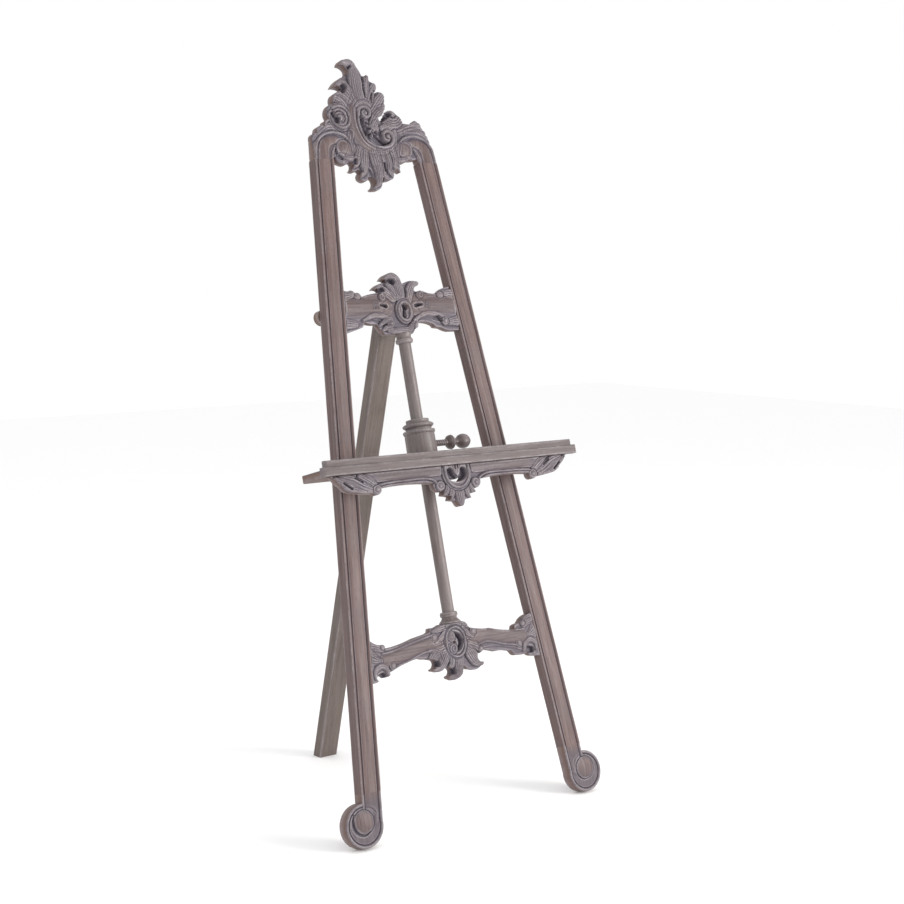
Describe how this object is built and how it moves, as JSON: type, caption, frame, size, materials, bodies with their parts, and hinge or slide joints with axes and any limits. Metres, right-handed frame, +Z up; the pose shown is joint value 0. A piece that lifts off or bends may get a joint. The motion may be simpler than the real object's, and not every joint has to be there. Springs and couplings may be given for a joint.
{
  "type": "easel",
  "caption": "Carved wooden display easel with a leaning front frame, a folding rear leg and a shelf that slides on a turned post and locks with a wooden screw.",
  "frame": {"origin": "middle of the footprint, on the floor", "axes": "+Z up from the floor; the front, with the shelf, faces -Y; +X to the right seen from the front"},
  "size_m": [0.718, 0.6502, 1.6887],
  "materials": {
    "carved_wood": "carved mahogany under a worn grey-brown limed wax, pale in the recesses",
    "moulded_wood": "moulded mahogany under the same worn grey-brown limed wax",
    "plain_wood": "plain planed mahogany, grey-brown and lightly waxed",
    "shelf_wood": "planed mahogany, grey-brown, edges rubbed pale",
    "turned_wood": "lathe-turned mahogany, grey-brown with a soft wax sheen",
    "raw_wood": "unfinished mahogany, orange-brown",
    "steel_screws": "dull zinc-plated steel",
    "hinge_brass": "aged brass"
  },
  "bodies": {
    "frame": {"leg_left": "moulded_wood", "leg_right": "moulded_wood", "foot_scroll_left": "carved_wood", "foot_scroll_right": "carved_wood", "crest": "carved_wood", "crest_dowels": "raw_wood", "scroll_dowels": "raw_wood", "upper_stretcher": "carved_wood", "lower_stretcher": "carved_wood", "post": "turned_wood", "post_base": "turned_wood", "post_capital": "turned_wood", "back_rail": "plain_wood", "rail_screws": "steel_screws", "hinge_leaf_fixed": "hinge_brass", "hinge_screws_rail": "steel_screws", "hinge_pin": "hinge_brass"},
    "rear_leg": {"rear_leg": "plain_wood", "hinge_leaf_moving": "hinge_brass", "hinge_screws_leg": "steel_screws"},
    "tray": {"tray_board": "shelf_wood", "tray_lip": "shelf_wood", "tray_apron": "carved_wood", "apron_glue_blocks": "raw_wood", "collar": "turned_wood", "collar_cap": "turned_wood", "collar_screws": "steel_screws"},
    "clamp_pad": {"clamp_pad": "turned_wood"},
    "clamp_screw": {"clamp_screw": "turned_wood"}
  },
  "joints": [
    {"name": "rear_leg_fold", "type": "hinge", "parent": "frame", "child": "rear_leg", "pos_m": [0, 0.02538, 1.09973], "axis": [1, 0, 0], "range_deg": [-29, 0]},
    {"name": "tray_slide", "type": "slide", "parent": "frame", "child": "tray", "axis": [0, 0.2613, 0.9652], "range_m": [-0.308, 0.17]},
    {"name": "pad_slide", "type": "slide", "parent": "tray", "child": "clamp_pad", "axis": [1, 0, 0], "range_m": [0, 0.012]},
    {"name": "clamp_turn", "type": "hinge", "parent": "clamp_pad", "child": "clamp_screw", "pos_m": [0.06, -0.09352, 0.81594], "axis": [1, 0, 0], "range_deg": [0, 720]}
  ],
  "couplings": [
    {"joint": "clamp_turn", "follows": "pad_slide", "rad_per_m": 1047.2}
  ]
}
